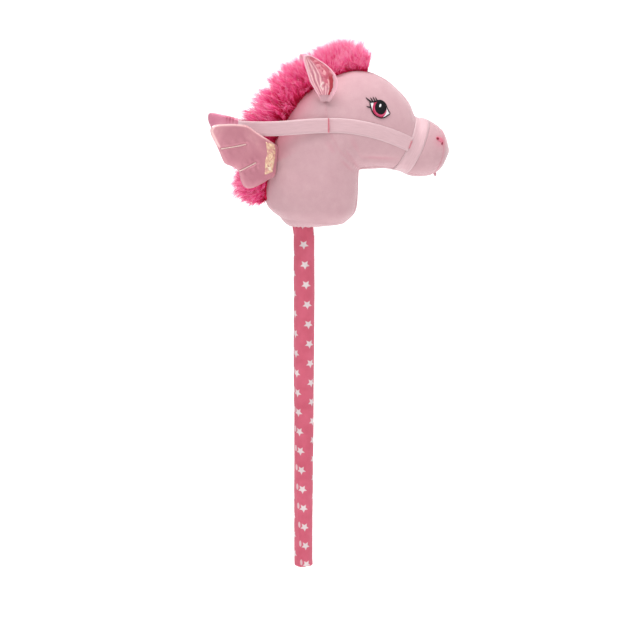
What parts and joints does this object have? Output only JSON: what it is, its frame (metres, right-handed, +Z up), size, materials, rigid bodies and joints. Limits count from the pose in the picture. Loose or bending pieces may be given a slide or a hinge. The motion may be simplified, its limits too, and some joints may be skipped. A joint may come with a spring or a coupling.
{
  "type": "hobby horse",
  "caption": "Plush winged horse's head with mane, ears, ribbon bridle and rein on a straight cloth-covered stick, ridden by a child.",
  "frame": {"origin": "middle of the stick's foot, on the floor when the stick stands upright", "axes": "+Z up along the stick, +X toward the nose, +Y to the horse's left side"},
  "size_m": [0.3306, 0.1722, 0.7565],
  "materials": {
    "printed_cotton": "matt",
    "beech_wood": "sanded",
    "cap_plastic": "matt",
    "tie_nylon": "satin",
    "fibre_filling": "matt",
    "pale_pink_plush": "short pile",
    "cerise_pile": "long pile",
    "pink_foil_cloth": "crinkled metallic",
    "pale_ribbon": "satin",
    "pink_thread": "satin",
    "white_thread": "satin",
    "crimson_thread": "satin",
    "black_thread": "satin",
    "coral_thread": "satin",
    "mauve_satin": "metallic satin",
    "lilac_satin": "metallic satin",
    "gold_foil_cloth": "crinkled metallic"
  },
  "bodies": {
    "head_and_stick": {"stick_sleeve": "printed_cotton", "stick_dowel": "beech_wood", "foot_cap": "cap_plastic", "dowel_head_cap": "cap_plastic", "neck_tie": "tie_nylon", "neck_stuffing": "fibre_filling", "head_stuffing": "fibre_filling", "muzzle_stuffing": "fibre_filling", "neck_side_left": "pale_pink_plush", "neck_side_right": "pale_pink_plush", "face_side_left": "pale_pink_plush", "face_side_right": "pale_pink_plush", "crown_gusset": "pale_pink_plush", "jaw_gusset": "pale_pink_plush", "throat_gusset": "pale_pink_plush", "nose_panel": "pale_pink_plush", "neck_base_panel": "pale_pink_plush", "mane": "cerise_pile", "forelock": "cerise_pile", "noseband": "pale_ribbon", "cheek_strap_left": "pale_ribbon", "noseband_tack_left": "pink_thread", "rein_stitch_left": "pink_thread", "nostril_left": "coral_thread", "eye_left_white": "white_thread", "eye_left_iris": "crimson_thread", "eye_left_pupil": "black_thread", "eye_left_glint": "white_thread", "eye_left_outline": "black_thread", "cheek_strap_right": "pale_ribbon", "noseband_tack_right": "pink_thread", "rein_stitch_right": "pink_thread", "nostril_right": "coral_thread", "eye_right_white": "white_thread", "eye_right_iris": "crimson_thread", "eye_right_pupil": "black_thread", "eye_right_glint": "white_thread", "eye_right_outline": "black_thread"},
    "ear_left": {"ear_left_back": "pale_pink_plush", "ear_left_lining": "pink_foil_cloth"},
    "wing_left": {"wing_left_wadding": "fibre_filling", "wing_left_front": "mauve_satin", "wing_left_back": "lilac_satin", "wing_left_patch": "gold_foil_cloth"},
    "ear_right": {"ear_right_back": "pale_pink_plush", "ear_right_lining": "pink_foil_cloth"},
    "wing_right": {"wing_right_wadding": "fibre_filling", "wing_right_front": "mauve_satin", "wing_right_back": "lilac_satin", "wing_right_patch": "gold_foil_cloth"},
    "rein": {"rein": "pale_ribbon"}
  },
  "joints": [
    {"name": "wing_right_open", "type": "hinge", "parent": "head_and_stick", "child": "wing_right", "pos_m": [-0.03531, -0.03044, 0.59], "axis": [0, 0, 1], "range_deg": [0, 50], "stiffness_Nm_per_rad": 0.02},
    {"name": "wing_left_open", "type": "hinge", "parent": "head_and_stick", "child": "wing_left", "pos_m": [-0.03531, 0.03044, 0.59], "axis": [0, 0, -1], "range_deg": [0, 50], "stiffness_Nm_per_rad": 0.02},
    {"name": "ear_right_bend", "type": "hinge", "parent": "head_and_stick", "child": "ear_right", "pos_m": [0.0285, -0.03892, 0.672], "axis": [1, 0, 0], "range_deg": [0, 40], "stiffness_Nm_per_rad": 0.1},
    {"name": "ear_left_bend", "type": "hinge", "parent": "head_and_stick", "child": "ear_left", "pos_m": [0.0285, 0.03892, 0.672], "axis": [-1, 0, 0], "range_deg": [0, 40], "stiffness_Nm_per_rad": 0.1},
    {"name": "rein_lift", "type": "hinge", "parent": "head_and_stick", "child": "rein", "pos_m": [0.0325, 0, 0.64], "axis": [0, 1, 0], "range_deg": [0, 40]}
  ]
}
